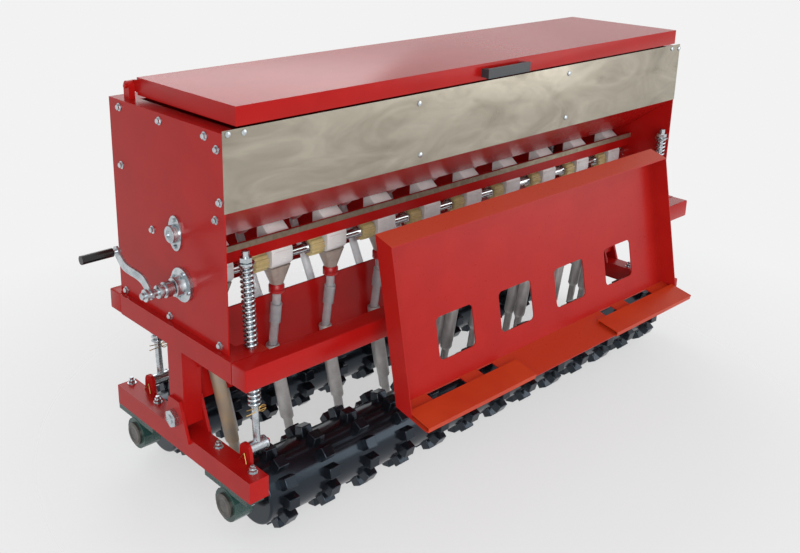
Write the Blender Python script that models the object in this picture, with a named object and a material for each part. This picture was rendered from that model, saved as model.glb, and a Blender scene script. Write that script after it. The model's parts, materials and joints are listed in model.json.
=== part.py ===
"""A two-roller seed drill: a long hopper on a tube frame, seed meters, seed tubes, press rollers.

Machine coordinates are in metres: x along the length, 0 at the middle; y across, 0 at the middle
of the frame, negative on the side with the guard panel; z up from the ground. "Left" is negative x.
"""

import math

import bmesh
import bpy
from mathutils import Matrix, Vector

GAP = 0.0003  # between pieces that touch
RUNNING = 0.0006  # radial play of a shaft in a plate or housing

# Frame, a rectangle of square tube
FRAME_LENGTH = 2.022
FRAME_DEPTH = 0.659
TUBE = 0.060
FRAME_DROP = 0.314  # from the frame's top face down to the rocking beams' top faces
CORNER_PLATE = 0.006

# Posts, rocking beams and their bearings
POST_DEPTH = 0.070
POST_CLEAR = 0.026  # under the post's foot
CHEEK = 0.008
CHEEK_FOOT = 0.130
CHEEK_HEAD = 0.050
CHEEK_RISE = 0.099
CHEEK_LAP = 0.001  # how far a cheek runs into the beam it is welded to
PIVOT_RADIUS = 0.012
PIVOT_HEAD = 0.022
PIVOT_HEAD_LENGTH = 0.014
PIVOT_RISE = 0.043  # above the rocking beam's top face
GUSSET = (0.115, 0.066, 0.005)  # along the end beam, down the post, thickness
BEAM_INSET = 0.004
FRONT_AXLE_Y = 0.112  # from the frame's front face
AXLE_SPACING = 0.456
BEARING_HEIGHT = 0.062
BEARING_LENGTH = 0.190
BEARING_BOSS = 0.050

# Press rollers
RING_RADIUS = 0.120
BARREL_RADIUS = 0.090
RING_COUNT = 13
RING_PITCH = 0.144
RING_WIDTH = 0.042
ROLLER_SIDES = 16
AXLE_RADIUS = 0.0225

# Spring rods
ROD_RADIUS = 0.010
ROD_X = 0.085  # at the frame's top face, from the frame's end
ROD_Y = 0.092  # from the frame's front or rear face
ROD_TOP = 0.266
ROD_EYE_DROP = 0.285
ROD_LEAN = math.radians(2.5)
SPRING_RADIUS = 0.018
UPPER_SPRING = 0.235
LOWER_SPRING = 0.162
EAR = 0.010
EYE_RADIUS = 0.017
EYE_LENGTH = 0.056
EYE_PIN = 0.008

# Hopper
PLATE = 0.004
SHEET = 0.002
SIDE_INSET = 0.0175
HOPPER_FRONT = 0.094  # from the frame's front face
HOPPER_REAR = 0.622
HOPPER_TOP = 0.565  # above the frame's top face
STRIP_TOP = 0.572
STRIP_BOTTOM = 0.370
FLOOR_HEIGHT = 0.238
FRONT_FLOOR = (0.270, 0.350)
REAR_FLOOR = (0.480, 0.540)
REAR_FLOOR_HEIGHT = 0.252
RIDGE_HEIGHT = 0.300
RIM = 0.080
SIDE_RIM = 0.045  # fold at a side plate's top, inwards

# Lid
LID_LENGTH = 1.910
LID_FRONT = 0.091
LID_REAR = 0.536
LID_TOP = 0.625
LID_FLANGE = 0.048
HINGE_Y = 0.562
HINGE_RISE = 0.600
HINGE_PIN = 0.006
HINGE_EAR = 0.018
HINGE_RADIUS = 0.014

# Seed meters
METER_COUNT = 10
METER_PITCH = 0.1987
METER_WIDTH = 0.076
SHAFT_RADIUS = 0.0125
SHAFT_SIDES = 12  # a multiple of 4, so that flats line up at each quarter turn
SHAFT_Y = 0.285
SHAFT_RISE = FLOOR_HEIGHT - 0.108
SHAFT_CLEAR = 0.005  # between the rear shaft's ends and the side plates
FEED_RADIUS = 0.028
FEED_LENGTH = 0.044
FEED_CLEAR = 0.005  # between a feed roller and its housing
CAP_RADIUS = 0.023
CAP_FOOT = 0.023  # above the frame's top face
REAR_CHUTE = 0.074
REAR_CHUTE_FALL = math.radians(39)
REAR_SHAFT_Y = 0.512
REAR_SHAFT_RISE = REAR_FLOOR_HEIGHT - 0.040
AGITATOR_RADIUS = 0.009
AGITATOR_Y = 0.312
AGITATOR_RISE = FLOOR_HEIGHT + 0.024
AGITATOR_FINGER = 0.016
MOUNTING_PLATE = 0.005
METER_BAR = (0.256, 0.262)
METER_BAR_Z = (FLOOR_HEIGHT - 0.074, FLOOR_HEIGHT - 0.026)

# Seed tubes and the board that carries them
BOARD_Y = 0.330
BOARD_THICK = 0.005
BOARD_DROP = 0.245
HOSE_RADIUS = 0.015
SPOUT_RADIUS = 0.020
SPOUT_TIP = 0.013
SPOUT_TOP = -0.150
SPOUT_STEP = -0.400
SPOUT_END = -0.480
SPOUT_LEAN = 0.20
REAR_SPOUT_SHIFT = (0.030, 0.0)  # to the right of their meters, in the left half and the right half

# Guard panel with its step
GUARD_X = (-0.636, 0.632)
GUARD_TOP_Y = -0.107
GUARD_TOP = 0.256
GUARD_TILT = math.radians(11.55)
GUARD_PLATE = 0.003
GUARD_HEIGHT = 0.428
GUARD_FLANGE = 0.052  # how far the flanges stand out in front of the plate
GUARD_CREST = 0.030  # the plate's rise above the top flange's front edge
STEP_WIDTH = 0.110
STEP_FALL = math.radians(12.8)  # outwards and down
WINDOW = (0.146, 0.1205)
WINDOW_TOP = 0.2405
WINDOW_PITCH = 0.2587
WINDOW_COUNT = 4
ARM_X = (-0.273, 0.225)
ARM_THICK = 0.010
TREAD_HEIGHT = 0.012
TREAD_LIP = 0.004  # past the step's edge
TREAD_START = 0.200  # from the middle
TREAD_BACK = 0.038  # from the step's fold
SLOTS = ((0.262, 0.063), (0.395, 0.135))  # start from the middle, length
SLOT = (0.003, 0.036)  # from the step's fold

# Crank and plate bearings
CRANK_REACH = 0.099  # from the frame's end to the arm
CRANK_ARM = 0.152
CRANK_ANGLE = math.radians(32.6)
GRIP_LENGTH = 0.092
GRIP_RADIUS = 0.012
FLANGE_RADIUS = 0.046
FLANGE_PLAY = 0.0015  # round the shaft

# Three-point hitch on the rear beam
HITCH_SPREAD = 0.340
HITCH_REACH = 0.085
HITCH_PLATE = 0.012
HITCH_SLOT = 0.050
HITCH_PIN = 0.011
MAST_HEIGHT = 0.420
MAST_SPREAD = 0.240

# Places worked out from the sizes
END = FRAME_LENGTH / 2
FRONT = -FRAME_DEPTH / 2
REAR = FRAME_DEPTH / 2
AXLE_Z = RING_RADIUS * math.cos(math.pi / ROLLER_SIDES)
BEAM_FOOT = AXLE_Z + BEARING_HEIGHT
BEAM_TOP = BEAM_FOOT + TUBE
TOP = BEAM_TOP + FRAME_DROP  # the frame's top face
PLATE_IN = END - SIDE_INSET - PLATE  # inner face of a side plate
BEAM_IN = END - BEAM_INSET - TUBE  # inner face of a rocking beam
POST_IN = BEAM_IN + CHEEK_LAP + GAP  # inner face of a post
CHUTE_WAY = (-math.cos(REAR_CHUTE_FALL), -math.sin(REAR_CHUTE_FALL))
GRIP_END = END + CRANK_REACH + GRIP_LENGTH + 0.008
PIVOT_END = END - BEAM_INSET + CHEEK + GAP + PIVOT_HEAD_LENGTH
STEP_EDGE_Y = (
    FRONT
    + GUARD_TOP_Y
    - GUARD_HEIGHT * math.sin(GUARD_TILT)
    + GUARD_FLANGE * math.cos(GUARD_TILT)
    - (STEP_WIDTH + TREAD_LIP) * math.cos(STEP_FALL)
    - TREAD_HEIGHT * math.sin(STEP_FALL)
)

RED = ("red_enamel", (0.42, 0.018, 0.022), 0.0, 0.30)
STAINLESS = ("stainless_sheet", (0.45, 0.43, 0.40), 1.0, 0.22)
ZINC = ("zinc_plate", (0.55, 0.57, 0.60), 1.0, 0.35)
GALVANISED = ("galvanised_strip", (0.38, 0.36, 0.31), 0.8, 0.45)
BLACK = ("black_roller_paint", (0.012, 0.012, 0.014), 0.0, 0.25)
GREEN = ("bearing_enamel", (0.03, 0.07, 0.055), 0.0, 0.35)
WHITE = ("white_polypropylene", (0.75, 0.75, 0.72), 0.0, 0.40)
CREAM = ("cream_nylon", (0.50, 0.40, 0.20), 0.0, 0.45)
GREY = ("grey_spout_sheet", (0.28, 0.27, 0.26), 0.5, 0.45)
DARK = ("dark_plastic", (0.02, 0.022, 0.025), 0.0, 0.40)


def remove_everything():
    for obj in list(bpy.data.objects):
        bpy.data.objects.remove(obj, do_unlink=True)


def block(x, y, z):
    """A box from three (low, high) pairs."""
    points = [(a, b, c) for a in x for b in y for c in z]
    faces = [(0, 1, 3, 2), (4, 6, 7, 5), (0, 4, 5, 1), (2, 3, 7, 6), (0, 2, 6, 4), (1, 5, 7, 3)]
    return points, faces


def prism(outline, span, axis):
    """An outline carried along an axis: (y, z) pairs along x, (x, z) along y, (x, y) along z."""
    place = {
        "x": lambda a, b, t: (t, a, b),
        "y": lambda a, b, t: (a, t, b),
        "z": lambda a, b, t: (a, b, t),
    }[axis]
    n = len(outline)
    points = [place(a, b, t) for t in span for a, b in outline]
    faces = [tuple(range(n)), tuple(range(n, 2 * n))]
    faces += [(i, (i + 1) % n, n + (i + 1) % n, n + i) for i in range(n)]
    return points, faces


def loft(rings):
    """A closed skin over rings with equal numbers of points, with flat ends."""
    n = len(rings[0])
    points = [point for ring in rings for point in ring]
    faces = [tuple(range(n)), tuple(range(len(points) - n, len(points)))]
    for k in range(len(rings) - 1):
        a = k * n
        faces += [(a + i, a + (i + 1) % n, a + n + (i + 1) % n, a + n + i) for i in range(n)]
    return points, faces


def circle(radius, sides, middle=(0, 0), turn=0.5):
    """Points of a regular polygon; turn 0.5 puts a flat, not a corner, at the bottom."""
    steps = [2 * math.pi * (i + turn) / sides - math.pi / 2 for i in range(sides)]
    return [(middle[0] + radius * math.cos(a), middle[1] + radius * math.sin(a)) for a in steps]


def turned_x(profile, y, z, sides):
    """A turned piece along x from (x, radius) pairs."""
    return loft([[(x, a, b) for a, b in circle(r, sides, (y, z))] for x, r in profile])


def bar(start, end, radius, sides=12):
    """A round bar between two points."""
    start, end = Vector(start), Vector(end)
    turn = (end - start).to_track_quat("Z", "Y").to_matrix()
    ring = [turn @ Vector((a, b, 0)) for a, b in circle(radius, sides)]
    return loft([[tuple(end_point + p) for p in ring] for end_point in (start, end)])


def moved(shape, matrix):
    points, faces = shape
    return [tuple(matrix @ Vector(p)) for p in points], faces


def mirrored(shape, axis="X"):
    return moved(shape, Matrix.Scale(-1, 4, (axis == "X", axis == "Y", 0)))


def joined(shapes):
    """Several shapes that don't touch, as one list of points and faces."""
    points, faces = [], []
    for more, loops in shapes:
        base = len(points)
        points += more
        faces += [tuple(base + i for i in loop) for loop in loops]
    return points, faces


def material(look):
    name, colour, metallic, roughness = look
    found = bpy.data.materials.get(name)
    if found:
        return found
    made = bpy.data.materials.new(name)
    made.use_nodes = True
    shader = made.node_tree.nodes["Principled BSDF"]
    shader.inputs["Base Color"].default_value = (*colour, 1)
    shader.inputs["Metallic"].default_value = metallic
    shader.inputs["Roughness"].default_value = roughness
    made.diffuse_color = (*colour, 1)
    return made


def object_of(name, shape, look, origin, parent):
    """An object whose origin is at a machine point, from points in machine coordinates."""
    mesh = bpy.data.meshes.new(name)
    points, faces = shape
    mesh.from_pydata([Vector(p) - Vector(origin) for p in points], [], faces)
    work = bmesh.new()
    work.from_mesh(mesh)
    bmesh.ops.recalc_face_normals(work, faces=work.faces)
    work.to_mesh(mesh)
    work.free()
    mesh.shade_smooth()
    mesh.set_sharp_from_angle(angle=math.radians(35))
    obj = bpy.data.objects.new(name, mesh)
    obj.location = origin
    obj.parent = parent
    mesh.materials.append(material(look))
    bpy.context.scene.collection.objects.link(obj)
    return obj


def make(name, look, shapes, cuts=(), origin=(0, 0, 0)):
    """One sub-part: its first shape, with the others added and the cuts taken away."""
    obj = object_of(name, shapes[0], look, origin, MACHINE)
    helpers = [("UNION", shape) for shape in shapes[1:]] + [("DIFFERENCE", cut) for cut in cuts]
    for number, (operation, shape) in enumerate(helpers):
        helper = object_of(f"{name}_helper_{number}", shape, look, origin, MACHINE)
        helper.hide_render = True
        helper.display_type = "WIRE"
        boolean = obj.modifiers.new(f"{operation.lower()}_{number}", "BOOLEAN")
        boolean.operation = operation
        boolean.object = helper
        boolean.solver = "EXACT"
    return obj


def sides(build):
    """Calls a builder for the left and right ends; it mirrors its shapes when right."""
    build("left", lambda shape: shape)
    build("right", mirrored)


def end_box(inner, outer):
    """The x span of a piece at the left end, from two distances out from the middle."""
    return (-outer, -inner)


def frame():
    span = (-END, END)
    make("front_beam", RED, [block(span, (FRONT, FRONT + TUBE), (TOP - TUBE, TOP))])
    make("rear_beam", RED, [block(span, (REAR - TUBE, REAR), (TOP - TUBE, TOP))])
    inside = (FRONT + TUBE + GAP, REAR - TUBE - GAP)

    def end_beam(side, place):
        tube = block(end_box(END - TUBE, END), inside, (TOP - TUBE, TOP))
        reach = ROD_X + SPRING_RADIUS + 0.014
        plates, holes = [], []
        for sign, edge in ((1, inside[0]), (-1, inside[1])):
            rod = FRONT + ROD_Y if sign > 0 else REAR - ROD_Y
            depth = (edge, rod + sign * (SPRING_RADIUS + 0.014))
            across = end_box(END - reach, END - TUBE + 0.01)
            plates.append(block(across, depth, (TOP - CORNER_PLATE, TOP)))
            foot = TOP - CORNER_PLATE / 2
            holes.append(rod_line(rod, foot - 0.02 - TOP, foot + 0.02 - TOP, ROD_RADIUS + RUNNING))
        make(f"{side}_end_beam", RED, [place(tube), place(joined(plates))], [place(joined(holes))])

    sides(end_beam)

    def post(side, place):
        across = end_box(POST_IN, END - BEAM_INSET - CHEEK_LAP - GAP)
        depth = (-POST_DEPTH / 2, POST_DEPTH / 2)
        shape = block(across, depth, (BEAM_TOP + POST_CLEAR, TOP - TUBE - GAP))
        outside = -END + BEAM_INSET - CHEEK - GAP
        inside = -BEAM_IN + CHEEK + GAP
        height = BEAM_TOP + PIVOT_RISE
        stations = [
            (outside - PIVOT_HEAD_LENGTH, PIVOT_HEAD),
            (outside, PIVOT_HEAD),
            (outside, PIVOT_RADIUS),
            (inside, PIVOT_RADIUS),
            (inside, PIVOT_HEAD - 0.003),
            (inside + 0.012, PIVOT_HEAD - 0.003),
        ]
        pivot = turned_x(stations, 0, height, 12)
        roof = TOP - TUBE - GAP
        along, down, thick = GUSSET
        gussets = []
        for sign in (-1, 1):
            edge = sign * (POST_DEPTH / 2 - CHEEK_LAP)
            corners = [(edge, roof), (sign * (POST_DEPTH / 2 + along), roof), (edge, roof - down)]
            gussets.append(prism(corners, end_box(POST_IN + thick, POST_IN + 2 * thick), "x"))
        make(f"{side}_post", RED, [place(shape), place(pivot), place(joined(gussets))])

    sides(post)
    board_x = (-END + TUBE + GAP, END - TUBE - GAP)
    board_y = FRONT + BOARD_Y
    depth = (board_y - BOARD_THICK / 2, board_y + BOARD_THICK / 2)
    # half width, height: beside the end beams, the posts and the cheeks in turn
    right_edge = [
        (board_x[1], TOP),
        (board_x[1], TOP - TUBE - GAP),
        (POST_IN - GAP, TOP - TUBE - GAP),
        (POST_IN - GAP, BEAM_TOP + CHEEK_RISE + GAP),
        (BEAM_IN - CHEEK - GAP, BEAM_TOP + CHEEK_RISE + GAP),
        (BEAM_IN - CHEEK - GAP, TOP - BOARD_DROP),
    ]
    left_edge = [(-x, z) for x, z in right_edge[::-1]]
    make("tube_board", RED, [prism(right_edge + left_edge, depth, "y")])


def rod_line(y, low, high, radius, sides=12):
    """A round piece with level ends on the left spring rod's line, between heights from the top."""
    slope = math.tan(ROD_LEAN)
    middles = [(-END + ROD_X - slope * h, h) for h in (low, high)]
    return loft([[(*p, TOP + h) for p in circle(radius, sides, (x, y))] for x, h in middles])


def rocking_beams():
    def build(side, place):
        tube = block(end_box(BEAM_IN, END - BEAM_INSET), (FRONT, REAR), (BEAM_FOOT, BEAM_TOP))
        cheek = [
            (-CHEEK_FOOT / 2, BEAM_TOP - 0.012),
            (CHEEK_FOOT / 2, BEAM_TOP - 0.012),
            (CHEEK_HEAD / 2, BEAM_TOP + CHEEK_RISE),
            (-CHEEK_HEAD / 2, BEAM_TOP + CHEEK_RISE),
        ]
        outer = end_box(END - BEAM_INSET - CHEEK_LAP, END - BEAM_INSET + CHEEK)
        inner = end_box(BEAM_IN - CHEEK, BEAM_IN + CHEEK_LAP)
        eye_z = TOP - ROD_EYE_DROP
        ear = [(-0.026, BEAM_TOP - 0.020), (0.026, BEAM_TOP - 0.020)]
        ear += [(0.022 * math.cos(a), eye_z + 0.022 * math.sin(a)) for a in arc(0, math.pi, 8)]
        ear_x = end_box(BEAM_IN - 0.003, BEAM_IN - 0.003 + EAR)
        pin_x = (-BEAM_IN - 0.006, -BEAM_IN + 0.070)
        ears, pins = [], []
        for y in (FRONT + ROD_Y, REAR - ROD_Y):
            ears.append(prism([(y + a, b) for a, b in ear], ear_x, "x"))
            pins.append(bar((pin_x[0], y, eye_z), (pin_x[1], y, eye_z), EYE_PIN))
        cheeks = joined([prism(cheek, outer, "x"), prism(cheek, inner, "x")])
        bolt = PIVOT_RADIUS + RUNNING
        bore = turned_x([(-END - 0.03, bolt), (-BEAM_IN + 0.03, bolt)], 0, BEAM_TOP + PIVOT_RISE, 12)
        make(
            f"{side}_rocking_beam",
            RED,
            [place(tube), place(cheeks), place(joined(ears)), place(joined(pins))],
            [place(bore)],
        )

    sides(build)


def arc(start, end, steps):
    return [start + (end - start) * i / steps for i in range(steps + 1)]


def bearings():
    def build(side, place):
        middle = END - BEAM_INSET - TUBE / 2
        for name, offset in (("front", FRONT_AXLE_Y), ("rear", FRONT_AXLE_Y + AXLE_SPACING)):
            y = FRONT + offset
            foot = BEAM_FOOT - GAP
            base = block(
                (-middle - 0.027, -middle + 0.027),
                (y - BEARING_LENGTH / 2, y + BEARING_LENGTH / 2),
                (foot - 0.019, foot),
            )
            boss = turned_x(
                [(-middle - 0.028, 0.047), (-middle + 0.028, 0.047)], y, AXLE_Z, 20
            )
            trim = block((-middle - 0.04, -middle + 0.04), (y - 0.1, y + 0.1), (foot, foot + 0.06))
            sleeve = turned_x([(-middle - 0.034, 0.031), (-middle + 0.034, 0.031)], y, AXLE_Z, 20)
            bore = turned_x(
                [(-middle - 0.05, AXLE_RADIUS + RUNNING), (-middle + 0.05, AXLE_RADIUS + RUNNING)],
                y,
                AXLE_Z,
                ROLLER_SIDES,
            )
            make(
                f"{name}_{side}_bearing",
                GREEN,
                [place(base), place(boss), place(sleeve)],
                [place(trim), place(bore)],
            )

    sides(build)


def rollers():
    reach = END - BEAM_INSET - TUBE / 2 + 0.030
    half = (RING_COUNT - 1) / 2 * RING_PITCH
    barrel = half + RING_PITCH / 2 - 0.012
    stations = [(-reach, AXLE_RADIUS), (-barrel, AXLE_RADIUS), (-barrel, BARREL_RADIUS)]
    for k in range(RING_COUNT):
        x = k * RING_PITCH - half
        low, high = x - RING_WIDTH / 2, x + RING_WIDTH / 2
        stations += [(low, BARREL_RADIUS), (low, RING_RADIUS), (high, RING_RADIUS), (high, BARREL_RADIUS)]
    stations += [(barrel, BARREL_RADIUS), (barrel, AXLE_RADIUS), (reach, AXLE_RADIUS)]
    for name, offset in (("front", FRONT_AXLE_Y), ("rear", FRONT_AXLE_Y + AXLE_SPACING)):
        y = FRONT + offset
        roller = turned_x(stations, y, AXLE_Z, ROLLER_SIDES)
        make(f"{name}_roller", BLACK, [roller], origin=(0, y, AXLE_Z))


def spring_rods():
    def build(side, place):
        for name, y in (("front", FRONT + ROD_Y), ("rear", REAR - ROD_Y)):
            eye_z = TOP - ROD_EYE_DROP
            start = -BEAM_IN + 0.0035
            bolt = EYE_PIN + RUNNING
            eye = turned_x([(start, EYE_RADIUS), (start + EYE_LENGTH, EYE_RADIUS)], y, eye_z, 16)
            hole = turned_x([(start - 0.01, bolt), (start + EYE_LENGTH + 0.01, bolt)], y, eye_z, 12)
            rod = rod_line(y, -ROD_EYE_DROP + 0.010, ROD_TOP, ROD_RADIUS)
            upper = rod_line(y, GAP, UPPER_SPRING, SPRING_RADIUS)
            under = -CORNER_PLATE - GAP
            lower = rod_line(y, under - LOWER_SPRING, under, SPRING_RADIUS)
            make(
                f"{name}_{side}_spring_rod",
                ZINC,
                [place(rod), place(upper), place(lower), place(eye)],
                [place(hole)],
            )

    sides(build)


def hopper():
    def build(side, place):
        outline = [
            (FRONT + HOPPER_FRONT, TOP + GAP),
            (FRONT + HOPPER_REAR, TOP + GAP),
            (FRONT + HOPPER_REAR, TOP + HOPPER_TOP),
            (FRONT + HOPPER_FRONT, TOP + HOPPER_TOP),
        ]
        plate = prism(outline, end_box(PLATE_IN, PLATE_IN + PLATE), "x")
        holes = [
            (FRONT + SHAFT_Y, TOP + SHAFT_RISE, SHAFT_RADIUS),
            (FRONT + AGITATOR_Y, TOP + AGITATOR_RISE, AGITATOR_RADIUS),
        ]
        cuts = [
            turned_x([(-END - 0.02, r + RUNNING), (-PLATE_IN + 0.02, r + RUNNING)], y, z, 16)
            for y, z, r in holes
        ]
        rim = block(
            end_box(PLATE_IN - SIDE_RIM, PLATE_IN + PLATE / 2),
            (FRONT + HOPPER_FRONT + SHEET + GAP, FRONT + HOPPER_REAR - RIM - GAP),
            (TOP + HOPPER_TOP - SHEET, TOP + HOPPER_TOP),
        )
        make(f"{side}_side_plate", RED, [place(plate), place(rim)], [place(joined(cuts))])

    sides(build)
    inside = (-PLATE_IN + GAP, PLATE_IN - GAP)
    y = FRONT + HOPPER_FRONT
    strip = block(
        (-PLATE_IN - PLATE, PLATE_IN + PLATE),
        (y - SHEET - GAP, y - GAP),
        (TOP + STRIP_BOTTOM, TOP + STRIP_TOP),
    )
    make("hopper_front_strip", STAINLESS, [strip])
    peak = ((FRONT_FLOOR[1] + REAR_FLOOR[0]) / 2, RIDGE_HEIGHT)
    # folds as distances from the frame's front face and above its top face
    panels = {
        "hopper_front_sheet": [
            (HOPPER_FRONT, HOPPER_TOP - 0.010),
            (HOPPER_FRONT, STRIP_BOTTOM),
            (FRONT_FLOOR[0], FLOOR_HEIGHT),
            (FRONT_FLOOR[1], FLOOR_HEIGHT),
            peak,
        ],
        "hopper_rear_sheet": [
            (peak[0] + GAP, peak[1]),
            (REAR_FLOOR[0], REAR_FLOOR_HEIGHT),
            (REAR_FLOOR[1], REAR_FLOOR_HEIGHT),
            (HOPPER_REAR - SHEET - GAP, STRIP_BOTTOM),
        ],
    }
    for name, line in panels.items():
        make(name, RED, [sheet([(FRONT + a, TOP + b) for a, b in line], SHEET, inside)])
    back = [
        (FRONT + HOPPER_REAR - SHEET / 2, TOP + GAP),
        (FRONT + HOPPER_REAR - SHEET / 2, TOP + HOPPER_TOP - SHEET / 2),
        (FRONT + HOPPER_REAR - RIM, TOP + HOPPER_TOP - SHEET / 2),
    ]
    y, z = FRONT + HINGE_Y, TOP + HINGE_RISE
    ear = [(y + HINGE_RADIUS, TOP + HOPPER_TOP - SHEET / 2)]
    ear += [(y + HINGE_RADIUS * math.cos(a), z + HINGE_RADIUS * math.sin(a)) for a in arc(0, math.pi, 8)]
    ear.append((y - HINGE_RADIUS, TOP + HOPPER_TOP - SHEET / 2))
    span = end_box(LID_LENGTH / 2 + GAP, LID_LENGTH / 2 + GAP + HINGE_EAR)
    left_ear = prism(ear, span, "x")
    pin = HINGE_PIN + RUNNING
    left_bore = turned_x([(span[0] - 0.005, pin), (span[1] + 0.005, pin)], y, z, 12)
    make(
        "back_wall",
        RED,
        [sheet(back, SHEET, inside, centred=True), joined([left_ear, mirrored(left_ear)])],
        [joined([left_bore, mirrored(left_bore)])],
    )


def sheet(line, thickness, span, centred=False):
    """Folded sheet along x: a line of (y, z) points given a thickness, upwards unless centred."""
    low, high = [], []
    share = 0.5 if centred else 0.0
    points = [Vector(p) for p in line]
    for i, point in enumerate(points):
        before = (point - points[i - 1]).normalized() if i else None
        after = (points[i + 1] - point).normalized() if i + 1 < len(points) else None
        before, after = before or after, after or before
        normal = Vector((-before.y - after.y, before.x + after.x)).normalized()
        stretch = 1 / max(0.3, normal.dot(Vector((-after.y, after.x))))
        low.append(point - normal * thickness * share * stretch)
        high.append(point + normal * thickness * (1 - share) * stretch)
    return prism([tuple(p) for p in low + high[::-1]], span, "x")


def lid():
    front, rear = FRONT + LID_FRONT, FRONT + LID_REAR
    half = LID_LENGTH / 2
    top = TOP + LID_TOP
    outer = block((-half, half), (front, rear), (top - LID_FLANGE, top))
    clear = 0.003
    hollow = block(
        (-half + SHEET, half - SHEET),
        (front + SHEET, rear - SHEET),
        (top - LID_FLANGE - clear, top - SHEET),
    )
    y, z = FRONT + HINGE_Y, TOP + HINGE_RISE
    arms = []
    for sign in (-1, 1):
        low, high = sorted((sign * half, sign * (half - 0.012)))
        outline = [(rear - 0.02, top - LID_FLANGE + 0.004), (rear - 0.02, top - 0.004)]
        r = HINGE_RADIUS
        outline += [(y + r * math.cos(a), z + r * math.sin(a)) for a in arc(1.3, -1.6, 8)]
        arms.append(prism(outline, (low, high), "x"))
        pin_end = sign * (half + GAP + HINGE_EAR + 0.006)
        arms.append(bar((sign * (half - 0.006), y, z), (pin_end, y, z), HINGE_PIN))
    make("lid", RED, [outer, arms[0], arms[1], arms[2], arms[3]], [hollow], origin=(0, y, z))
    handle_y = front - 0.028
    grip = block((-0.095, 0.095), (handle_y, handle_y + 0.010), (top - 0.040, top - 0.012))
    feet = [
        block(span, (handle_y + 0.002, front - GAP), (top - 0.038, top - 0.014))
        for span in ((-0.095, -0.072), (0.072, 0.095))
    ]
    make("lid_handle", DARK, [grip, joined(feet)], origin=(0, y, z))


def meter_x(number):
    return (number - (METER_COUNT - 1) / 2) * METER_PITCH


def funnel(x, y, top, foot, wide, deep, round_radius):
    """A square mouth drawn in to a round neck."""
    neck = circle(round_radius, 12, (x, y))
    mouth = []
    for a, b in circle(1, 12):
        reach = max(abs(a), abs(b))
        mouth.append((x + wide / 2 * a / reach, y + deep / 2 * b / reach))
    return loft([[(*p, foot) for p in neck], [(*p, top) for p in mouth]])


def pipe(points, radius, sides=8):
    """A round pipe through points, its end rings square to the pipe."""
    points = [Vector(p) for p in points]
    rings = []
    for i, point in enumerate(points):
        before = points[max(i, 1) - 1]
        after = points[min(i, len(points) - 2) + 1]
        way = ((point - before).normalized() + (after - point).normalized()).normalized()
        across = Vector((1, 0, 0)) - way * way.x
        across.normalize()
        up = way.cross(across)
        rings.append([tuple(point + across * a + up * b) for a, b in circle(radius, sides)])
    return loft(rings)


def meters():
    y, z = FRONT + SHAFT_Y, TOP + SHAFT_RISE
    half = METER_WIDTH / 2
    reach = meter_x(METER_COUNT - 1) + half
    cup = METER_BAR_Z[0] - SHAFT_RISE - GAP
    roof = FLOOR_HEIGHT - SHAFT_RISE - GAP
    # a housing's side view from the shaft: the cup, then the chute up to the hopper's floor
    outline = [
        (-0.030, cup),
        (-0.030, -0.014),
        (-0.020, -0.028),
        (0.022, -0.028),
        (0.030, -0.010),
        (0.040, cup),
        (0.040, roof),
        (0.026, roof),
        (-0.012, roof - 0.028),
        (-0.012, cup),
    ]
    housings, funnels, caps = [], [], []
    for number in range(METER_COUNT):
        x = meter_x(number)
        housings.append(prism([(y + a, z + b) for a, b in outline], (x - half, x + half), "x"))
        funnels.append(funnel(x, y, z - 0.026, TOP + 0.048, METER_WIDTH - 0.010, 0.046, 0.017))
        levels = (TOP + CAP_FOOT, TOP + CAP_FOOT + 0.027)
        caps.append(loft([[(*p, h) for p in circle(CAP_RADIUS, 10, (x, y))] for h in levels]))
    plate = block((-reach, reach), (y + 0.015, y + 0.045), (z + roof - MOUNTING_PLATE, z + roof))
    bore = turned_x([(-END, SHAFT_RADIUS + RUNNING), (END, SHAFT_RADIUS + RUNNING)], y, z, SHAFT_SIDES)
    shapes = [plate, joined(housings), joined(funnels), joined(caps)]
    make("front_meter_row", WHITE, shapes, [bore])
    shaft("front_meter_shaft", y, z, END - 0.010)

    y, z = FRONT + REAR_SHAFT_Y, TOP + REAR_SHAFT_RISE
    roof = REAR_FLOOR_HEIGHT - REAR_SHAFT_RISE - GAP
    outline = [(-0.026, roof), (-0.026, -0.012), (-0.010, -0.026), (0.024, -0.026), (0.028, roof)]
    chute = (
        # how far along the chute, radius
        (0.0, 0.024),
        (REAR_CHUTE - 0.020, 0.016),
        (REAR_CHUTE - 0.020, CAP_RADIUS),
        (REAR_CHUTE, CAP_RADIUS),
    )
    housings, chutes = [], []
    for number in range(METER_COUNT):
        x = meter_x(number)
        housings.append(prism([(y + a, z + b) for a, b in outline], (x - half, x + half), "x"))
        rings = []
        for along, radius in chute:
            middle_y, middle_z = rear_chute_point(along)
            ring = []
            for a, b in circle(radius, 10):
                ring.append((x + a, middle_y - b * CHUTE_WAY[1], middle_z + b * CHUTE_WAY[0]))
            rings.append(ring)
        chutes.append(loft(rings))
    plate = block((-reach, reach), (y - 0.020, y + 0.020), (z + roof - MOUNTING_PLATE, z + roof))
    bore = turned_x([(-END, SHAFT_RADIUS + RUNNING), (END, SHAFT_RADIUS + RUNNING)], y, z, SHAFT_SIDES)
    make("rear_meter_row", WHITE, [plate, joined(housings), joined(chutes)], [bore])
    shaft("rear_meter_shaft", y, z, PLATE_IN - SHAFT_CLEAR)

    y, z = FRONT + AGITATOR_Y, TOP + AGITATOR_RISE
    line = turned_x([(-END + 0.006, AGITATOR_RADIUS), (END - 0.006, AGITATOR_RADIUS)], y, z, 12)
    fingers = []
    for number in range(METER_COUNT):
        x = meter_x(number)
        fingers.append(bar((x, y, z - AGITATOR_FINGER), (x, y, z + AGITATOR_FINGER), 0.003, 8))
    make("agitator_shaft", ZINC, [line, joined(fingers)], origin=(0, y, z))


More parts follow.
